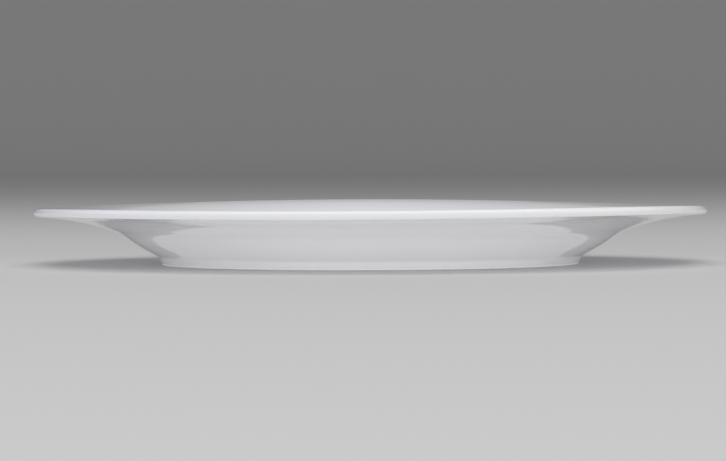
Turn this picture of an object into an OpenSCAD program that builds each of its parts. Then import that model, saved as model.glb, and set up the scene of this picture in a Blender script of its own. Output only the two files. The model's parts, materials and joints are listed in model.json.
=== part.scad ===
// Rimmed porcelain plate: one pressed body with three glaze coats on it.
// The origin is the centre of the standing face, +Z is up, and lengths are in millimetres.
// Every section is drawn as radius and height, and is turned about +Z.

/* [Plate] */
// Diameter across the lip, over the glaze
plate_d = 270; // [200:1:330]
// Height from the standing face to the top of the lip, over the glaze
plate_h = 23.4; // [21:0.1:28]

/* [Rim] */
// Thickness of the fully rounded lip, over the glaze
lip_t = 3.4; // [2.6:0.1:4.4]
// Thickness of the body halfway out along the rim
rim_t = 3.3; // [2.6:0.1:4.2]
// Width of the rim in plan, from the knee under the shoulder to the edge of the lip
rim_w = 34.8; // [29:0.1:40]
// Rise of the rim's underside above a straight line from the knee to the lip
flare_rise = 2; // [0.6:0.1:2.4]
// Radius with which the rim's underside flares level
flare_r = 105; // [60:5:140]
// Radius with which the rim's face flares level
face_flare_r = 110; // [60:5:140]

/* [Wall] */
// Width of the wall in plan, from the top of the foot to the knee
wall_w = 15.1; // [12:0.1:20]
// Height of the knee, where the underside of the wall turns out into the rim
knee_h = 12.9; // [11.5:0.1:14.5]
// Radius of the knee
knee_r = 24; // [10:1:28]
// Thickness of the body across the shoulder
shoulder_t = 4; // [3:0.1:5]
// Radius of the shoulder, where the well's wall turns out into the face of the rim
shoulder_r = 10; // [4:1:20]
// Swell of the wall's underside out from a straight line between the foot and the knee
belly_swell = 0.45; // [0.1:0.05:0.8]
// Radius of that swell
belly_r = 60; // [20:5:75]

/* [Well] */
// Width of the well's sloping wall in plan, from the floor's corner to the shoulder
slope_w = 14; // [11:0.1:20]
// Radius of the corner between the floor and that wall
well_r = 14; // [5:1:20]
// Thickness of the floor, over the glaze
floor_t = 4.9; // [3.8:0.1:6.2]

/* [Foot] */
// Width of the foot ring at the standing face
ring_w = 4; // [3:0.1:6]
// Height of the foot's outer side, up to the wall
foot_h = 3.6; // [3:0.1:4.4]
// Distance that the outer side leans out over its height
foot_lean = 1.5; // [0.4:0.1:2]
// Radius between the outer side and the wall
foot_fillet_r = 2.4; // [1:0.1:3]
// Depth of the recess inside the foot ring, over the glaze
recess_h = 2.6; // [2.2:0.1:3.4]
// Distance that the foot ring's inner side leans in over its height
recess_lean = 1.6; // [0.6:0.1:2.4]
// Radius between the inner side and the recess
recess_fillet_r = 1.8; // [0.8:0.1:2]
// Rounding of the standing face's two edges
ring_round_r = 0.8; // [0.3:0.1:1]

/* [Glaze] */
// Thickness of the glaze
glaze_t = 0.3; // [0.15:0.05:0.5]
// Height to which the foot ring is wiped bare of glaze
wipe_h = 0.7; // [0.6:0.1:1.2]

/* [Hidden] */
$fn = 180;

// An arc is drawn with chords no longer than this
arc_chord = 2.5;
// and no chord turns further than this many degrees
arc_turn = 15;
// Where along the wall the swell stands furthest out, and along the rim the flare
belly_share = 0.48;
flare_share = 0.49;
// The most of a straight that the roundings at its two ends may take up
room_share = 0.96;

// Heading from a to b in degrees, for an outline that keeps the clay on its left
function heading(a, b) = atan2(b[1] - a[1], b[0] - a[0]);

// Signed change of heading at b, where a left turn is positive
function turn(a, b, c) =
    let (change = heading(b, c) - heading(a, b))
    change > 180 ? change - 360 : change <= -180 ? change + 360 : change;

// Unit vector out of the clay at a heading
function outward(h) = [sin(h), -cos(h)];

// Point at a share of the way from a to b
function between(a, b, share) = a + (b - a) * share;

// Point that lies a thickness inside the clay from the corner b
function through(a, b, c, thickness) =
    b - thickness * outward(heading(a, b) + turn(a, b, c) / 2);

// Length along each side of corner b that its rounding takes up
function reach(a, b, c, radius) = radius * tan(abs(turn(a, b, c)) / 2);

// Chords needed for an arc of this radius and turn
function chords(radius, angle) =
    ceil(max(abs(angle) / arc_turn, radius * abs(angle) * PI / 180 / arc_chord));

// Tangent arc that rounds corner b, as pairs of a point and the heading there
function bend(a, b, c, radius) =
    let (
        first = heading(a, b),
        angle = turn(a, b, c),
        side = sign(angle),
        start = b - reach(a, b, c, radius) * [cos(first), sin(first)],
        centre = start - side * radius * outward(first),
        n = chords(radius, angle)
    )
    [for (i = [0:n]) let (h = first + angle * i / n) [centre + side * radius * outward(h), h]];

// Rounded corners of a run of points, with one radius for each point between the ends.
// Where two roundings would meet on the straight between them, both shrink to fit it.
function bends(run, radii) =
    let (
        last = len(run) - 1,
        inner = [for (i = [1:last - 1]) reach(run[i - 1], run[i], run[i + 1], radii[i - 1])],
        reaches = [0, each inner, 0],
        room = [for (i = [1:last]) room_share * norm(run[i] - run[i - 1]) / (reaches[i - 1] + reaches[i])]
    )
    [for (i = [1:last - 1])
        each bend(run[i - 1], run[i], run[i + 1], radii[i - 1] * min(1, room[i - 1], room[i]))];

// Points of a path, moved out of the clay by a distance
function points(path, distance = 0) = [for (p = path) p[0] + distance * outward(p[1])];

// A list from its last entry to its first
function backwards(list) = [for (i = [len(list) - 1:-1:0]) list[i]];

// The lip's round, under the glaze, about its own centre
lip_r = lip_t / 2 - glaze_t;
lip_edge = [plate_d / 2 - glaze_t, plate_h - lip_t / 2];
lip_centre = lip_edge - [lip_r, 0];

// Corner of the knee, and the foot ring, which widens on both sides above its standing face
knee = [plate_d / 2 - rim_w, knee_h];
foot_top = [knee[0] - wall_w, foot_h];
foot_edge = [foot_top[0] - foot_lean, 0];
ring_edge = foot_edge - [ring_w, 0];
recess_z = recess_h + glaze_t;
recess_edge = [ring_edge[0] - recess_lean, recess_z];
recess_middle = [0, recess_z];

// Underside of the wall and the rim, which runs straight onto the lip's round
belly = between(foot_top, knee, belly_share) + belly_swell * outward(heading(foot_top, knee));
flare = between(knee, lip_centre - [0, lip_r], flare_share) + [0, flare_rise];
under_heading = heading(flare, lip_centre) - asin(lip_r / norm(lip_centre - flare));
under_end = lip_centre + lip_r * outward(under_heading);
lip_under = lip_edge - [0, lip_r * tan((90 - under_heading) / 2)];

// Face of the rim, which runs straight off the lip's round, and of the well
face_flare = through(knee, flare, under_end, rim_t);
face_heading = 360 + heading(lip_centre, face_flare) + asin(lip_r / norm(face_flare - lip_centre));
face_start = lip_centre + lip_r * outward(face_heading);
lip_over = lip_edge + [0, lip_r * tan((face_heading - 90) / 2)];
shoulder = through(belly, knee, flare, shoulder_t);
floor_z = recess_h + floor_t - glaze_t;
floor_edge = [shoulder[0] - slope_w, floor_z];
floor_middle = [0, floor_z];

// Lines on the foot ring's sides where the glaze is wiped off
outer_wipe = between(foot_edge, foot_top, wipe_h / foot_h);
inner_wipe = between(ring_edge, recess_edge, wipe_h / recess_z);

// The body's section, in the four stretches between the axis, the wiped lines and the lip's edge
base_path = concat(
    [[recess_middle, heading(recess_middle, recess_edge)]],
    bends([recess_middle, recess_edge, inner_wipe], [recess_fillet_r]),
    [[inner_wipe, heading(recess_edge, inner_wipe)]]
);
bare_path = bends([inner_wipe, ring_edge, foot_edge, outer_wipe], [ring_round_r, ring_round_r]);
back_path = concat(
    [[outer_wipe, heading(outer_wipe, foot_top)]],
    bends([outer_wipe, foot_top, belly, knee, flare, under_end], [foot_fillet_r, belly_r, knee_r, flare_r]),
    bend(flare, lip_under, lip_edge, lip_r)
);
face_path = concat(
    bend(lip_edge, lip_over, face_flare, lip_r),
    bends([face_start, face_flare, shoulder, floor_edge, floor_middle], [face_flare_r, shoulder_r, well_r]),
    [[floor_middle, heading(floor_edge, floor_middle)]]
);

// A coat of glaze on one stretch of the body
module coat(path) {
    rotate_extrude() polygon(concat(points(path, glaze_t), backwards(points(path))));
}

// The pressed body; the back's last point is also the face's first
module porcelain_body() {
    outline = concat(points(base_path), points(bare_path), points(back_path));
    face = points(face_path);
    color("linen") rotate_extrude() polygon(concat(outline, [for (i = [1:len(face) - 1]) face[i]]));
}

// Glaze on the eating face, out to the edge of the lip
module face_glaze() {
    color("whitesmoke") coat(face_path);
}

// Glaze on the back, from the edge of the lip to the wiped line on the foot
module back_glaze() {
    color("whitesmoke") coat(back_path);
}

// Glaze in the recess inside the foot ring
module base_glaze() {
    color("whitesmoke") coat(base_path);
}

porcelain_body();
face_glaze();
back_glaze();
base_glaze();
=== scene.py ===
"""Looks of a rimmed plate of glazed porcelain, laid out as a Blender add-on and run as a script.

The plate is drawn as one section of radius and height, and each piece is a stretch of that section
turned about +Z. Lengths are in metres, in the frame of the packed part.
"""

import json
import math

import bpy
import numpy as np
from mathutils import Matrix, Vector


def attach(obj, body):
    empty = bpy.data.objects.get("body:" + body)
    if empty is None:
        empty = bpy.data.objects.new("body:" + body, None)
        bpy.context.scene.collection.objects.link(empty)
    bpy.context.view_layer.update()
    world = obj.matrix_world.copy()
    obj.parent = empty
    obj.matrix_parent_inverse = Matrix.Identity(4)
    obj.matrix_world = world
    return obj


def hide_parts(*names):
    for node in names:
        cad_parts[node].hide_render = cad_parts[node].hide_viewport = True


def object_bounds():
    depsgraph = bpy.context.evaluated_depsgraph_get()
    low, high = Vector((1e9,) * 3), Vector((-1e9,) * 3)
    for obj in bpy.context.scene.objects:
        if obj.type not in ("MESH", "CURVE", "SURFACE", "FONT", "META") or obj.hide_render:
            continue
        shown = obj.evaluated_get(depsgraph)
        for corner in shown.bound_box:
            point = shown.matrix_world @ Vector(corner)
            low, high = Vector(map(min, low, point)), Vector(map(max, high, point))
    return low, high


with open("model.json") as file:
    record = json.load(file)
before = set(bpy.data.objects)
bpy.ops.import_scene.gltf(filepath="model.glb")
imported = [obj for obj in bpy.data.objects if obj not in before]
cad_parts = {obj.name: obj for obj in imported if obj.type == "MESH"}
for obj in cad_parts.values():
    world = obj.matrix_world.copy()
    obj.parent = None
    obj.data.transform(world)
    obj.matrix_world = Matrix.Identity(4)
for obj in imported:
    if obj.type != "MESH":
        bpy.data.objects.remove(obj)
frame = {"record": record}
CAD_LOW, CAD_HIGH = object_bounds()
MOUNTS = {mount["name"]: mount["pos_m"] for mount in frame["record"]["mounts"]}

bl_info = {
    "name": "Rimmed porcelain plate",
    "version": (1, 0, 0),
    "blender": (4, 5, 0),
    "location": "View3D > Sidebar > Plate",
    "description": "Builds a rimmed plate of glazed porcelain around its CAD frame, with its stage",
    "category": "Add Mesh",
}

MM = 0.001
# Lengths below this count as none
TINY = 1e-6
# Width of the photograph, in pixels
IMAGE_WIDTH = 726

# How finely a surface is drawn round the axis, and how far an arc of the section turns in a step
AROUND = 340
ARC_TURN = math.radians(3)
# Longest steps along the section, and along its level stretches
LONGEST_STEP = 1.2 * MM
LONGEST_LEVEL_STEP = 7 * MM
# Rows over the rounded edge of a coat, over the sweep of the floor and across the level floor
BEAD_ROWS = 7
SWEEP_ROWS = 24
FLOOR_ROWS = 12

# Where along the wall the swell stands furthest out, and along the rim the flare
BELLY_SHARE = 0.48
FLARE_SHARE = 0.49
# The most of a straight that the roundings at its two ends may take up
ROOM_SHARE = 0.96
# How far glaze runs along the section, and the radius of a corner that it fills as deep as it can
GLAZE_RUN = 3 * MM
GLAZE_FILL_R = 6 * MM
# Half the step over which the slope of the warp is taken
SLOPE_STEP = 0.1 * MM
# Power of the radius with which a lamp's face fades towards its edge
FADE_POWER = 4
# Place of the colour among a Mix node's outputs
MIXED_COLOUR = 2


def linear(hex_colour):
    """Linear RGBA of an sRGB hex colour."""
    srgb = np.array([int(hex_colour[i:i + 2], 16) for i in (1, 3, 5)]) / 255
    rgb = np.where(srgb <= 0.04045, srgb / 12.92, ((srgb + 0.055) / 1.055) ** 2.4)
    return (*rgb.tolist(), 1.0)


def per_metre(millimetres):
    """Scale of a pattern on Object coordinates whose features are this many millimetres apart."""
    return 1 / (millimetres * MM)


def length(name, description, default):
    """A length that a user can change, in metres."""
    return bpy.props.FloatProperty(
        name=name, description=description, default=default, precision=5, unit="LENGTH", subtype="DISTANCE"
    )


def angle(name, description, degrees):
    """An angle that a user can change, given in degrees."""
    return bpy.props.FloatProperty(
        name=name, description=description, default=math.radians(degrees), unit="ROTATION", subtype="ANGLE"
    )


def colour(name, description, hex_colour):
    """A colour that a user can change, given as sRGB hex."""
    return bpy.props.FloatVectorProperty(
        name=name, description=description, default=linear(hex_colour),
        size=4, min=0, max=1, subtype="COLOR",
    )


def level(name, description, default):
    """A level of light that a user can change, as a share from 0 up."""
    return bpy.props.FloatProperty(
        name=name, description=description, default=default, min=0, subtype="FACTOR"
    )


class PlateSizes(bpy.types.PropertyGroup):
    """Sizes of the plate's section, and of its warp from the kiln"""

    plate_d: length("Diameter", "Diameter across the lip, over the glaze", CAD_HIGH.x - CAD_LOW.x)
    plate_h: length("Height", "Height from the standing face to the top of the lip", CAD_HIGH.z - CAD_LOW.z)
    lip_t: length("Lip", "Thickness of the fully rounded lip, over the glaze", 3.4 * MM)
    rim_t: length("Rim", "Thickness of the body halfway out along the rim", 3.3 * MM)
    rim_w: length("Rim width", "Width in plan from the knee to the edge of the lip", 34.8 * MM)
    flare_rise: length("Flare", "Rise of the rim's underside above a straight line", 2 * MM)
    flare_r: length("Flare radius", "Radius with which the rim's underside flares level", 105 * MM)
    face_flare_r: length("Face flare radius", "Radius with which the rim's face flares level", 110 * MM)
    wall_w: length("Wall width", "Width in plan from the top of the foot to the knee", 15.1 * MM)
    knee_h: length("Knee height", "Height where the wall turns out into the rim", 12.9 * MM)
    knee_r: length("Knee radius", "Radius of the knee", 24 * MM)
    shoulder_t: length("Shoulder", "Thickness of the body across the shoulder", 4 * MM)
    shoulder_r: length("Shoulder radius", "Radius where the well turns out into the rim", 10 * MM)
    belly_swell: length("Swell", "Swell of the wall's underside out from a straight line", 0.45 * MM)
    belly_r: length("Swell radius", "Radius of that swell", 60 * MM)
    slope_w: length("Slope width", "Width in plan of the well's sloping wall", 14 * MM)
    well_r: length("Well radius", "Radius between the well's floor and its sloping wall", 14 * MM)
    well_z: length("Well floor", "Height of the well's floor, over the glaze", MOUNTS["well_floor"][2])
    ring_w: length("Ring width", "Width of the foot ring at the standing face", 4 * MM)
    foot_h: length("Foot height", "Height of the foot's outer side", 3.6 * MM)
    foot_lean: length("Foot lean", "Distance that the outer side leans out over its height", 1.5 * MM)
    foot_fillet_r: length("Foot fillet", "Radius between the outer side and the wall", 2.4 * MM)
    recess_h: length("Recess", "Depth of the recess inside the foot ring, over the glaze", 2.6 * MM)
    recess_lean: length("Recess lean", "Distance that the inner side leans in over its height", 1.6 * MM)
    recess_fillet_r: length("Recess fillet", "Radius between the inner side and the recess", 1.8 * MM)
    ring_round_r: length("Ring rounding", "Rounding of the standing face's two edges", 0.8 * MM)
    glaze_t: length("Glaze", "Thickness of the glaze", 0.3 * MM)
    wipe_h: length("Wiped height", "Height to which the foot ring is wiped bare of glaze", 0.7 * MM)
    glaze_bead: length("Glaze edge", "Length over which the glaze rounds off at the wiped line", 0.6 * MM)
    warp_tilt: length("Tilt", "Height by which the rim leans to one side", 0.1 * MM)
    warp_saddle: length("Saddle", "Height of the rim's two opposite rises", 0.49 * MM)
    warp_saddle_at: angle("Saddle place", "Angle from +X of one of the two rises", 101.7)
    warp_lobe: length("Lobes", "Height of the rim's three even rises", 0.43 * MM)
    warp_lobe_at: angle("Lobe place", "Angle from +X of one of the three rises", 90)


class PlateFinish(bpy.types.PropertyGroup):
    """Colours of the glaze and of the bare porcelain"""

    glaze: colour("Glaze", "Glazed porcelain at its even thickness", "#E8E8E9")
    glaze_pooled: colour("Pooled glaze", "Glaze that ran together in an inner corner", "#E2E3E5")
    glaze_thin: colour("Thin glaze", "Glaze that drew thin over an outer curve", "#E5E5E5")
    speck: colour("Speck", "Specks of iron in the glaze", "#C9C3B8")
    biscuit: colour("Bare porcelain", "Fired porcelain with no glaze", "#F0EFED")
    biscuit_rubbed: colour("Rubbed porcelain", "Bare porcelain greyed by standing on tables", "#D3D1CD")


class PlateStage(bpy.types.PropertyGroup):
    """Floor, lamps and camera"""

    floor: colour("Floor", "Plain pale floor and the sweep behind it", "#CFCFD0")
    room: level("Room light", "Even light from all round, where 1 lights a surface to its own colour", 0.27)
    top: level("Top lamp", "Light of the softbox overhead, on the same scale", 0.35)
    strip: level("Strip lamp", "Light of the low strip behind the camera, on the same scale", 0.32)
    side: level("Side lamps", "Light of each softbox at the sides, on the same scale", 0.21)
    under: level("Under lamp", "Light of the panel under the plate, on the same scale", 0.265)
    over_floor: level("Floor lamp", "Light of the softbox over the floor, on the same scale", 0.22)
    floor_gap: length("Floor gap", "Gap that keeps standing face and floor out of one plane", 0.05 * MM)
    floor_r: length("Floor radius", "Radius of the level floor", 6)
    sweep_r: length("Sweep radius", "Radius with which the floor sweeps up into the backdrop", 1.2)
    camera_d: length("Camera distance", "Distance of the camera in front of the plate's axis", 1.486)
    camera_h: length("Camera height", "Height of the camera above the floor", 44.73 * MM)
    aim_x: length("Aim across", "Where the camera points, beside the plate's axis", -2.94 * MM)
    aim_z: length("Aim height", "Where the camera points, above the floor", 13.392 * MM)
    roll: angle("Roll", "Turn of the camera about its own axis", -0.206)
    focal_px: bpy.props.FloatProperty(
        name="Focal length", description="Focal length in pixels of the image",
        default=3693, subtype="PIXEL",
    )


def heading(start, end):
    """Heading from one point to another, in radians, for an outline that keeps the clay on its left."""
    return math.atan2(end[1] - start[1], end[0] - start[0])


def turn(before, corner, after):
    """Change of heading at a corner, from -pi to pi, where a left turn is positive."""
    return math.remainder(heading(corner, after) - heading(before, corner), math.tau)


def outward(headings):
    """Unit vectors out of the clay: each heading turned a quarter to the right."""
    return np.stack([np.sin(headings), -np.cos(headings)], axis=-1)


def between(start, end, share):
    """Point at a share of the way from one point to another."""
    return start + (end - start) * share


def through(before, corner, after, thickness):
    """Point that lies a thickness inside the clay from a corner, on the line that halves the corner."""
    return corner - thickness * outward(heading(before, corner) + turn(before, corner, after) / 2)


def reach(before, corner, after, radius):
    """Length along each side of a corner that its rounding takes up: radius times tan of half the turn."""
    return radius * math.tan(abs(turn(before, corner, after)) / 2)


def bend(before, corner, after, radius):
    """Tangent arc that rounds a corner, as rows of radius, height and heading.

    Its points are centre + side * radius * outward(h), for headings h evenly across the turn.
    """
    first = heading(before, corner)
    change = turn(before, corner, after)
    side = math.copysign(1, change)
    start = corner - reach(before, corner, after, radius) * np.array([math.cos(first), math.sin(first)])
    centre = start - side * radius * outward(first)
    steps = math.ceil(max(abs(change) / ARC_TURN, radius * abs(change) / LONGEST_STEP))
    headings = np.linspace(first, first + change, steps + 1)
    return np.column_stack([centre + side * radius * outward(headings), headings])


def bends(run, radii):
    """Rounded corners of a run of points; roundings that would meet on a straight shrink to fit it."""
    corners = list(zip(run, run[1:], run[2:]))
    taken = np.array([0, *(reach(*corner, radius) for corner, radius in zip(corners, radii)), 0])
    straights = np.linalg.norm(np.diff(run, axis=0), axis=1)
    room = np.minimum(1, ROOM_SHARE * straights / (taken[:-1] + taken[1:]))
    fits = np.minimum(room[:-1], room[1:])
    fitted = np.array(radii) * fits
    return np.concatenate([bend(*corner, radius) for corner, radius in zip(corners, fitted)])


def joined(*stretches):
    """Rows of several stretches as one path, with headings that run on without a jump of a whole turn."""
    path = np.concatenate([np.atleast_2d(stretch) for stretch in stretches])
    path[:, 2] = np.unwrap(path[:, 2])
    return path


def along(path):
    """Length along a path up to each of its rows."""
    return np.concatenate([[0], np.cumsum(np.hypot(*np.diff(path[:, :2], axis=0).T))])


def at_lengths(path, lengths):
    """Rows of a path at these lengths along it, interpolated between its own rows."""
    return np.column_stack([np.interp(lengths, along(path), column) for column in path.T])


def filled(path):
    """Path with its straights cut into equal steps, which are longer where it is level."""
    lengths = along(path)
    level_steps = np.abs(np.diff(path[:, 1])) < TINY
    longest = np.where(level_steps, LONGEST_LEVEL_STEP, LONGEST_STEP)
    counts = np.maximum(1, np.ceil(np.diff(lengths) / longest)).astype(int)
    shares = np.concatenate([[0], np.cumsum(np.repeat(1 / counts, counts))])
    return at_lengths(path, np.interp(shares, np.arange(len(path)), lengths))


def plate_section(sizes):
    """The body's section, in four stretches from the axis underneath round to the axis on top.

    base runs from the axis to the wiped line inside the foot ring, bare over the standing face to the
    wiped line outside, back up the wall and under the rim to the lip's edge, and face over the lip and
    down into the well. Corners are joined by straights and rounded by tangent arcs.
    """
    # The lip's half round
    lip_r = sizes.lip_t / 2 - sizes.glaze_t
    lip_edge = np.array([sizes.plate_d / 2 - sizes.glaze_t, sizes.plate_h - sizes.lip_t / 2])
    lip_centre = lip_edge - [lip_r, 0]

    # Corners of the foot ring, the recess and the wall
    knee = np.array([sizes.plate_d / 2 - sizes.rim_w, sizes.knee_h])
    foot_top = np.array([knee[0] - sizes.wall_w, sizes.foot_h])
    foot_edge = np.array([foot_top[0] - sizes.foot_lean, 0])
    ring_edge = foot_edge - [sizes.ring_w, 0]
    recess_z = sizes.recess_h + sizes.glaze_t
    recess_edge = np.array([ring_edge[0] - sizes.recess_lean, recess_z])
    recess_middle = np.array([0, recess_z])
    swell = sizes.belly_swell * outward(heading(foot_top, knee))
    belly = between(foot_top, knee, BELLY_SHARE) + swell

    # The rim's underside, from the knee to where it touches the lip's round
    flare = between(knee, lip_centre - [0, lip_r], FLARE_SHARE) + [0, sizes.flare_rise]
    under_heading = heading(flare, lip_centre) - math.asin(lip_r / math.dist(lip_centre, flare))
    under_end = lip_centre + lip_r * outward(under_heading)
    lip_under = lip_edge - [0, lip_r * math.tan((math.pi / 2 - under_heading) / 2)]

    # The face lies through the clay from the corners of the back
    face_flare = through(knee, flare, under_end, sizes.rim_t)
    face_heading = heading(lip_centre, face_flare) + math.asin(lip_r / math.dist(face_flare, lip_centre))
    face_start = lip_centre + lip_r * outward(face_heading)
    lip_over = lip_edge + [0, lip_r * math.tan((math.tau + face_heading - math.pi / 2) / 2)]
    shoulder = through(belly, knee, flare, sizes.shoulder_t)
    floor_edge = np.array([shoulder[0] - sizes.slope_w, sizes.well_z - sizes.glaze_t])
    floor_middle = floor_edge * [0, 1]

    # The wiped lines, where the coats end
    outer_wipe = between(foot_edge, foot_top, sizes.wipe_h / sizes.foot_h)
    inner_wipe = between(ring_edge, recess_edge, sizes.wipe_h / recess_z)

    base = joined(
        [*recess_middle, heading(recess_middle, recess_edge)],
        bends([recess_middle, recess_edge, inner_wipe], [sizes.recess_fillet_r]),
        [*inner_wipe, heading(recess_edge, inner_wipe)],
    )
    bare = bends([inner_wipe, ring_edge, foot_edge, outer_wipe], [sizes.ring_round_r, sizes.ring_round_r])
    back = joined(
        [*outer_wipe, heading(outer_wipe, foot_top)],
        bends(
            [outer_wipe, foot_top, belly, knee, flare, under_end],
            [sizes.foot_fillet_r, sizes.belly_r, sizes.knee_r, sizes.flare_r],
        ),
        bend(flare, lip_under, lip_edge, lip_r),
    )
    face = joined(
        bend(lip_edge, lip_over, face_flare, lip_r),
        bends(
            [face_start, face_flare, shoulder, floor_edge, floor_middle],
            [sizes.face_flare_r, sizes.shoulder_r, sizes.well_r],
        ),
        [*floor_middle, heading(floor_edge, floor_middle)],
    )
    # Extra rows over a coat's rounded edge, closest at the wiped line
    bead = sizes.glaze_bead * (1 - np.cos(np.linspace(0, math.pi / 2, BEAD_ROWS)))
    base = filled(base)
    base = at_lengths(base, np.union1d(along(base), along(base)[-1] - bead))
    back = filled(back)
    back = at_lengths(back, np.union1d(along(back), bead))
    return {"base": base, "bare": filled(bare), "back": back, "face": filled(face)}


def glaze_depths(section):
    """How deep the glaze lies on each row, from -1 on a tight outer curve to 1 in a tight inner corner.

    It is the heading lost from one run of glaze before the row to one run after it, against the
    heading that an arc of the filled radius loses there.
    """
    whole = joined(*section.values())
    lengths = along(whole)
    ahead = np.interp(lengths + GLAZE_RUN, lengths, whole[:, 2])
    behind = np.interp(lengths - GLAZE_RUN, lengths, whole[:, 2])
    depths = np.clip(GLAZE_FILL_R * (behind - ahead) / (2 * GLAZE_RUN), -1, 1)
    ends = np.cumsum([len(stretch) for stretch in section.values()])[:-1]
    return dict(zip(section, np.split(depths, ends)))


def outline_rows(path, depths, offsets=0):
    """Rows of radius, height, the normal's two parts and glaze depth, of a path moved out of the clay.

    Moved by an offset t that changes along the path, its heading turns by -atan(dt / (ds + t dh)).
    """
    offsets = np.broadcast_to(offsets, len(path))
    steps = np.gradient(along(path)) + offsets * np.gradient(path[:, 2])
    headings = path[:, 2] - np.arctan2(np.gradient(offsets), steps)
    points = path[:, :2] + offsets[:, None] * outward(path[:, 2])
    return np.column_stack([points, outward(headings), depths])


def coat_outline(path, depths, thickness, bead, wiped):
    """Closed outline of a coat on one stretch: its outer side, and back along the body's side.

    The thickness is even, but rounds off as a quarter ellipse over the bead's length at a wiped end.
    """
    lengths = along(path)
    to_edge = {"start": lengths, "end": lengths[-1] - lengths}.get(wiped, np.full_like(lengths, bead))
    share = np.clip(to_edge / bead, 0, 1)
    outer = outline_rows(path, depths, thickness * np.sqrt(1 - (1 - share) ** 2))
    inner = outline_rows(path, depths)[::-1] * [1, 1, -1, -1, 1]
    if wiped == "start":
        return np.concatenate([outer, inner[:-1]])
    if wiped == "end":
        return np.concatenate([outer, inner[1:]])
    return np.concatenate([inner, outer])


def turned(outline, closed=False):
    """Surface of an outline carried round the Z axis, as arrays of vertices, normals, depths and faces.

    Vertex (i, j) is row i of the outline at angle j: (r cos a, r sin a, z). A first or last row on the
    axis becomes one vertex, a pole, and a closed outline also joins its last row to its first.
    """
    first_pole, last_pole = outline[[0, -1], 0] < TINY
    rows = outline[int(first_pole):len(outline) - int(last_pole)]
    angles = np.linspace(0, math.tau, AROUND, endpoint=False)
    spin = np.stack([np.cos(angles), np.sin(angles)], axis=-1)

    def carried(across, up):
        flat = across[:, None, None] * spin
        heights = np.broadcast_to(up[:, None, None], (len(up), AROUND, 1))
        return np.concatenate([flat, heights], axis=-1).reshape(-1, 3)

    vertices = carried(rows[:, 0], rows[:, 1])
    normals = carried(rows[:, 2], rows[:, 3])
    depths = np.repeat(rows[:, 4], AROUND)
    index = np.arange(len(vertices)).reshape(len(rows), AROUND)
    if closed:
        index = np.concatenate([index, index[:1]])
    ahead = np.roll(index, -1, axis=1)
    quads = np.stack([index[:-1], ahead[:-1], ahead[1:], index[1:]], axis=-1).reshape(-1, 4)
    faces = quads.tolist()
    for is_pole, end, order in ((first_pole, 0, (0, 2, 1)), (last_pole, -1, (1, 2, 0))):
        if is_pole:
            pole = np.full(AROUND, len(vertices))
            faces += np.stack([pole, index[end], ahead[end]], axis=-1)[:, order].tolist()
            vertices = np.vstack([vertices, [0, 0, outline[end, 1]]])
            normals = np.vstack([normals, [0, 0, outline[end, 3]]])
            depths = np.append(depths, outline[end, 4])
    return vertices, normals, depths, faces


def kiln_warp(sizes, vertices, normals):
    """Vertices and normals of a piece whose rim has warped in the kiln.

    The rise is a smoothstep of the radius from the knee to the lip, times a tilt, a saddle and three
    lobes: tilt cos a + saddle cos 2(a - a2) + lobe cos 3(a - a3). Normals tilt against its gradient.
    """
    knee = sizes.plate_d / 2 - sizes.rim_w

    def rise(x, y):
        angles = np.arctan2(y, x)
        share = np.clip((np.hypot(x, y) - knee) / sizes.rim_w, 0, 1)
        wave = (
            sizes.warp_tilt * np.cos(angles)
            + sizes.warp_saddle * np.cos(2 * (angles - sizes.warp_saddle_at))
            + sizes.warp_lobe * np.cos(3 * (angles - sizes.warp_lobe_at))
        )
        return share ** 2 * (3 - 2 * share) * wave

    x, y = vertices[:, 0], vertices[:, 1]
    slope_x = (rise(x + SLOPE_STEP, y) - rise(x - SLOPE_STEP, y)) / (2 * SLOPE_STEP)
    slope_y = (rise(x, y + SLOPE_STEP) - rise(x, y - SLOPE_STEP)) / (2 * SLOPE_STEP)
    slopes = np.column_stack([slope_x, slope_y, np.zeros(len(x))])
    risen = np.column_stack([x, y, vertices[:, 2] + rise(x, y)])
    tilted = normals - normals[:, 2:] * slopes
    return risen, tilted / np.linalg.norm(tilted, axis=1, keepdims=True)


def collection(name):
    """Collection of the scene with this name, made at its first use."""
    if name not in bpy.data.collections:
        bpy.context.scene.collection.children.link(bpy.data.collections.new(name))
    return bpy.data.collections[name]


def new_object(name, vertices, faces, material, kept_in):
    """Smooth mesh object at the origin, in the collection of this name."""
    mesh = bpy.data.meshes.new(name)
    mesh.from_pydata(vertices.tolist(), [], faces)
    mesh.shade_smooth()
    mesh.materials.append(material)
    made = bpy.data.objects.new(name, mesh)
    collection(kept_in).objects.link(made)
    return made


def new_piece(name, sizes, outline, material, node, closed=False):
    """Piece of the plate that stands for a CAD node, with its exact normals and its glaze depths."""
    vertices, normals, depths, faces = turned(outline, closed)
    vertices, normals = kiln_warp(sizes, vertices, normals)
    piece = new_object(name, vertices, faces, material, "Plate")
    piece.data.normals_split_custom_set_from_vertices(normals.tolist())
    depth = piece.data.attributes.new("glaze_depth", "FLOAT", "POINT")
    depth.data.foreach_set("value", depths.astype(np.float32))
    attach(piece, "root")
    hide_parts(node)
    return piece


def new_material(name):
    """Material with an empty node tree, and that tree."""
    material = bpy.data.materials.new(name)
    material.use_nodes = True
    material.node_tree.nodes.clear()
    return material, material.node_tree


def add_node(tree, kind, inputs=None, **settings):
    """Adds a node with its settings and inputs; an input given as a socket is linked."""
    node = tree.nodes.new(kind)
    for name, value in settings.items():
        setattr(node, name, value)
    for name, value in (inputs or {}).items():
        if isinstance(value, bpy.types.NodeSocket):
            tree.links.new(value, node.inputs[name])
        else:
            node.inputs[name].default_value = value
    return node


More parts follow.
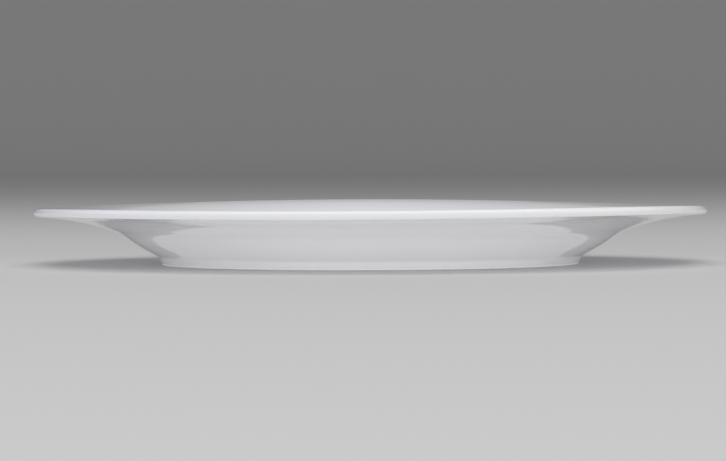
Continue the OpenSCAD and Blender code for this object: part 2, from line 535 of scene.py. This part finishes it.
def glazed_porcelain(finish):
    """Hard porcelain dipped in a clear glaze and fired: an even milky white under sharp reflections."""
    material, tree = new_material("Glazed hard porcelain")
    place = add_node(tree, "ShaderNodeTexCoord").outputs["Object"]

    # Glaze runs off outer curves, where the warm body shows, and pools blue-grey in inner corners
    depth = add_node(tree, "ShaderNodeAttribute", attribute_name="glaze_depth").outputs["Fac"]
    ramp_place = add_node(
        tree, "ShaderNodeMapRange", {"Value": depth, "From Min": -1, "From Max": 1}
    ).outputs["Result"]
    ramp = add_node(tree, "ShaderNodeValToRGB", {"Fac": ramp_place})
    ramp.color_ramp.elements[0].color = finish.glaze_thin
    ramp.color_ramp.elements[1].color = finish.glaze_pooled
    ramp.color_ramp.elements.new(0.5).color = finish.glaze

    # Clouds 45 mm wide, where the coat is a little thicker or thinner
    clouds = add_node(
        tree, "ShaderNodeTexNoise", {"Vector": place, "Scale": per_metre(45), "Detail": 2}
    ).outputs["Fac"]
    cloud_share = add_node(
        tree, "ShaderNodeMapRange", {"Value": clouds, "From Min": 0.35, "From Max": 0.65, "To Max": 0.35}
    ).outputs["Result"]
    clouded = add_node(
        tree,
        "ShaderNodeMix",
        {"Factor": cloud_share, "A": ramp.outputs["Color"], "B": finish.glaze_pooled},
        data_type="RGBA",
    ).outputs[MIXED_COLOUR]

    # Specks of iron about 0.4 mm across, sparse because only cells cut near their middle show one
    cells = add_node(
        tree, "ShaderNodeTexVoronoi", {"Vector": place, "Scale": per_metre(11)}
    ).outputs["Distance"]
    speck_share = add_node(
        tree,
        "ShaderNodeMapRange",
        {"Value": cells, "From Min": 0.012, "From Max": 0.02, "To Min": 0.8, "To Max": 0},
    ).outputs["Result"]
    speckled = add_node(
        tree,
        "ShaderNodeMix",
        {"Factor": speck_share, "A": clouded, "B": finish.speck},
        data_type="RGBA",
    ).outputs[MIXED_COLOUR]

    # Orange peel: waves 8 mm long and a few thousandths of a millimetre high bend the reflections
    peel = add_node(
        tree, "ShaderNodeTexNoise", {"Vector": place, "Scale": per_metre(8), "Detail": 1}
    ).outputs["Fac"]
    bump = add_node(tree, "ShaderNodeBump", {"Height": peel, "Distance": 0.004 * MM, "Strength": 1})

    # Fire-polished, with patches that knives and washing have dulled a little
    rubs = add_node(
        tree, "ShaderNodeTexNoise", {"Vector": place, "Scale": per_metre(18), "Detail": 4}
    ).outputs["Fac"]
    roughness = add_node(
        tree,
        "ShaderNodeMapRange",
        {"Value": rubs, "From Min": 0.3, "From Max": 0.7, "To Min": 0.02, "To Max": 0.035},
    ).outputs["Result"]

    glaze = add_node(
        tree,
        "ShaderNodeBsdfPrincipled",
        {
            "Base Color": speckled,
            "Roughness": roughness,
            "IOR": 1.55,
            "Normal": bump.outputs["Normal"],
        },
    )
    add_node(tree, "ShaderNodeOutputMaterial", {"Surface": glaze.outputs["BSDF"]})
    return material


def biscuit_porcelain(finish):
    """Fired porcelain with no glaze: matt, warm white and finely grained, rubbed grey where it stands."""
    material, tree = new_material("Biscuit porcelain")
    place = add_node(tree, "ShaderNodeTexCoord").outputs["Object"]

    # Tables grey the standing face in patches 3 mm wide, and leave its edges clean above 0.2 mm
    rubs = add_node(
        tree, "ShaderNodeTexNoise", {"Vector": place, "Scale": per_metre(3), "Detail": 4}
    ).outputs["Fac"]
    patches = add_node(
        tree, "ShaderNodeMapRange", {"Value": rubs, "From Min": 0.4, "From Max": 0.65, "To Max": 0.5}
    ).outputs["Result"]
    height = add_node(tree, "ShaderNodeSeparateXYZ", {"Vector": place}).outputs["Z"]
    rub_share = add_node(
        tree, "ShaderNodeMapRange", {"Value": height, "From Max": 0.2 * MM, "To Min": patches, "To Max": 0}
    ).outputs["Result"]
    tone = add_node(
        tree,
        "ShaderNodeMix",
        {"Factor": rub_share, "A": finish.biscuit, "B": finish.biscuit_rubbed},
        data_type="RGBA",
    ).outputs[MIXED_COLOUR]

    # The grain of fired clay is a few hundredths of a millimetre; it is drawn at 0.4 mm so that it shows
    grain = add_node(
        tree, "ShaderNodeTexNoise", {"Vector": place, "Scale": per_metre(0.4), "Detail": 3}
    ).outputs["Fac"]
    bump = add_node(tree, "ShaderNodeBump", {"Height": grain, "Distance": 0.03 * MM, "Strength": 1})

    body = add_node(
        tree,
        "ShaderNodeBsdfPrincipled",
        {
            "Base Color": tone,
            "Roughness": 0.8,
            "IOR": 1.5,
            "Normal": bump.outputs["Normal"],
        },
    )
    add_node(tree, "ShaderNodeOutputMaterial", {"Surface": body.outputs["BSDF"]})
    return material


def matt_floor(tone):
    """Matt paper sweep, which lets the camera through from below so that the base can be looked at."""
    material, tree = new_material("Matt paper sweep")
    paper = add_node(tree, "ShaderNodeBsdfDiffuse", {"Color": tone})
    clear = add_node(tree, "ShaderNodeBsdfTransparent")
    below = add_node(tree, "ShaderNodeNewGeometry").outputs["Backfacing"]
    shown = add_node(
        tree, "ShaderNodeMixShader", {"Fac": below, 1: paper.outputs["BSDF"], 2: clear.outputs["BSDF"]}
    )
    add_node(tree, "ShaderNodeOutputMaterial", {"Surface": shown.outputs["Shader"]})
    return material


def aimed(forward):
    """Rotation that points a lamp or a camera along a direction, with its top up."""
    return forward.to_track_quat("-Z", "Y").to_matrix()


def fade_edge(light):
    """Fades a lamp's oval face towards its edge, so that the glaze shows it with no hard outline.

    For the power p, its light is (1 + 2 / p) (1 - r^p) of its mean, where r goes from 0 in its middle to
    1 at its edge.
    """
    light.use_nodes = True
    tree = light.node_tree
    place = add_node(tree, "ShaderNodeNewGeometry").outputs["Parametric"]
    off_middle = add_node(
        tree, "ShaderNodeVectorMath", {0: place, 1: (0.5, 0.5, 0)}, operation="DISTANCE"
    ).outputs["Value"]
    radius = add_node(tree, "ShaderNodeMapRange", {"Value": off_middle, "From Max": 0.5}).outputs["Result"]
    power = add_node(
        tree, "ShaderNodeMath", {0: radius, 1: FADE_POWER}, operation="POWER"
    ).outputs["Value"]
    share = add_node(
        tree, "ShaderNodeMapRange", {"Value": power, "To Min": 1 + 2 / FADE_POWER, "To Max": 0}
    ).outputs["Result"]
    tree.links.new(share, tree.nodes["Emission"].inputs["Strength"])


def softbox(name, place, size, share, tint, lit=None):
    """Oval area lamp aimed at the plate, which at a share of 1 lights a white surface facing it to white.

    A face of area A that fills the part F of a surface's half space lights it to the share P F / (pi A).
    An oval whose half axes are a and b times its distance fills F = a b / sqrt((1 + a^2) (1 + b^2)).
    Where a collection is named, the lamp lights that alone, and only the plate casts a shadow in it.
    """
    place = Vector(place)
    halves = np.array(size) / (2 * place.length)
    filled_part = np.prod(halves / np.sqrt(1 + halves ** 2))
    light = bpy.data.lights.new(name, "AREA")
    light.shape = "ELLIPSE"
    light.size, light.size_y = size
    light.color = tint[:3]
    light.energy = share * math.pi * (math.pi / 4 * math.prod(size)) / filled_part
    lamp = bpy.data.objects.new(name, light)
    lamp.location = place
    lamp.rotation_euler = aimed(-place).to_euler()
    lamp.visible_camera = False
    if lit:
        lamp.light_linking.receiver_collection = collection(lit)
        lamp.light_linking.blocker_collection = collection("Plate")
    bpy.context.scene.collection.objects.link(lamp)
    return lamp


class PLATE_OT_porcelain_body(bpy.types.Operator):
    """Builds the pressed porcelain body, which shows only where the foot ring stands bare"""

    bl_idname = "plate.porcelain_body"
    bl_label = "Porcelain body"

    def execute(self, context):
        sizes = context.scene.plate_sizes
        path = joined(*plate_section(sizes).values())
        # Neighbouring stretches share their end rows
        kept = np.append(True, np.diff(along(path)) > 0)
        outline = outline_rows(path[kept], np.zeros(kept.sum()))
        material = biscuit_porcelain(context.scene.plate_finish)
        new_piece("pressed_body", sizes, outline, material, "porcelain_body")
        return {"FINISHED"}


class PLATE_OT_glaze_coats(bpy.types.Operator):
    """Builds the three coats of glaze, on the face, on the back and inside the foot ring"""

    bl_idname = "plate.glaze_coats"
    bl_label = "Glaze coats"

    def execute(self, context):
        sizes = context.scene.plate_sizes
        section = plate_section(sizes)
        depths = glaze_depths(section)
        material = glazed_porcelain(context.scene.plate_finish)
        for stretch, wiped in (("face", None), ("back", "start"), ("base", "end")):
            path = section[stretch]
            outline = coat_outline(path, depths[stretch], sizes.glaze_t, sizes.glaze_bead, wiped)
            new_piece(
                f"{stretch}_coat", sizes, outline, material, f"{stretch}_glaze",
                closed=wiped == "start",
            )
        return {"FINISHED"}


class PLATE_OT_stage(bpy.types.Operator):
    """Sets up the floor, the lamps and the camera"""

    bl_idname = "plate.stage"
    bl_label = "Stage"

    def execute(self, context):
        stage = context.scene.plate_stage
        self.lay_floor(stage)
        self.hang_lamps(context.scene, stage)
        self.place_camera(context.scene, stage)
        context.scene.view_settings.view_transform = "Standard"
        return {"FINISHED"}

    def lay_floor(self, stage):
        """Level floor that sweeps up all round: down a quarter circle, then in to the axis."""
        angles = np.linspace(math.pi / 2, 0, SWEEP_ROWS)
        sweep = [stage.floor_r, 0] + stage.sweep_r * np.column_stack([np.sin(angles), 1 - np.cos(angles)])
        level_floor = np.linspace([stage.floor_r, 0], [0, 0], FLOOR_ROWS)[1:]
        points = np.concatenate([sweep, level_floor]) - [0, stage.floor_gap]
        outline = np.column_stack([points, np.zeros((len(points), 3))])
        vertices, _, _, faces = turned(outline)
        new_object("floor", vertices, faces, matt_floor(stage.floor), "Stage")

    def hang_lamps(self, scene, stage):
        """Softboxes round the plate, a panel that lights it through the floor, and light from the room.

        The strip lights the wall and the foot, and is left out of reflections, as a polariser would do.
        Only the panel's face is even, because the wall shows its edge as two bright tips.
        """
        neutral = linear("#FFFFFF")
        cool = linear("#DEE0FF")
        strip = softbox("strip_lamp", (0, -2.3, 0.25), (5, 0.5), stage.strip, neutral)
        strip.visible_glossy = False
        for lamp in (
            strip,
            softbox("top_lamp", (0, -0.2, 1.6), (3, 3), stage.top, neutral),
            softbox("left_lamp", (-1.3, -0.3, 0.8), (2.8, 2.2), stage.side, cool, "Plate"),
            softbox("right_lamp", (1.3, -0.3, 0.8), (2.8, 2.2), stage.side, neutral, "Plate"),
            softbox("floor_lamp", (0, -3.4, 1.9), (1.6, 1), stage.over_floor, neutral, "Stage"),
        ):
            fade_edge(lamp.data)
        softbox("under_lamp", (0, 0, -0.3), (1.3, 1.4), stage.under, neutral, "Plate")
        scene.world = bpy.data.worlds.new("Studio room")
        scene.world.use_nodes = True
        background = scene.world.node_tree.nodes["Background"]
        background.inputs["Strength"].default_value = stage.room
        background.inputs["Color"].default_value = neutral

    def place_camera(self, scene, stage):
        """Camera at the photograph's angle, a little above the lip and square to the plate."""
        camera = bpy.data.objects.new("camera", bpy.data.cameras.new("camera"))
        camera.data.lens = stage.focal_px / IMAGE_WIDTH * camera.data.sensor_width
        camera.location = (0, -stage.camera_d, stage.camera_h)
        forward = Vector((stage.aim_x, 0, stage.aim_z)) - camera.location
        camera.rotation_euler = (aimed(forward) @ Matrix.Rotation(stage.roll, 3, "Z")).to_euler()
        scene.collection.objects.link(camera)
        scene.camera = camera


class PLATE_PT_looks(bpy.types.Panel):
    """Lists the plate's pieces, its stage and their settings"""

    bl_idname = "PLATE_PT_looks"
    bl_label = "Rimmed plate"
    bl_space_type = "VIEW_3D"
    bl_region_type = "UI"
    bl_category = "Plate"

    def draw(self, context):
        for operator in OPERATORS:
            self.layout.operator(operator.bl_idname)
        for name, settings in SETTINGS.items():
            box = self.layout.box()
            box.label(text=settings.__doc__)
            for setting in settings.__annotations__:
                box.prop(getattr(context.scene, name), setting)


OPERATORS = (PLATE_OT_porcelain_body, PLATE_OT_glaze_coats, PLATE_OT_stage)
SETTINGS = {"plate_sizes": PlateSizes, "plate_finish": PlateFinish, "plate_stage": PlateStage}
CLASSES = (*SETTINGS.values(), *OPERATORS, PLATE_PT_looks)


def register():
    """Registers the classes, and hangs the settings on the scene."""
    for cls in CLASSES:
        bpy.utils.register_class(cls)
    for name, settings in SETTINGS.items():
        setattr(bpy.types.Scene, name, bpy.props.PointerProperty(type=settings))


def unregister():
    """Takes the settings off the scene, and unregisters the classes."""
    for name in SETTINGS:
        delattr(bpy.types.Scene, name)
    for cls in reversed(CLASSES):
        bpy.utils.unregister_class(cls)


def main():
    """Builds the plate and its stage."""
    register()
    bpy.ops.plate.porcelain_body()
    bpy.ops.plate.glaze_coats()
    bpy.ops.plate.stage()


if __name__ == "__main__":
    main()
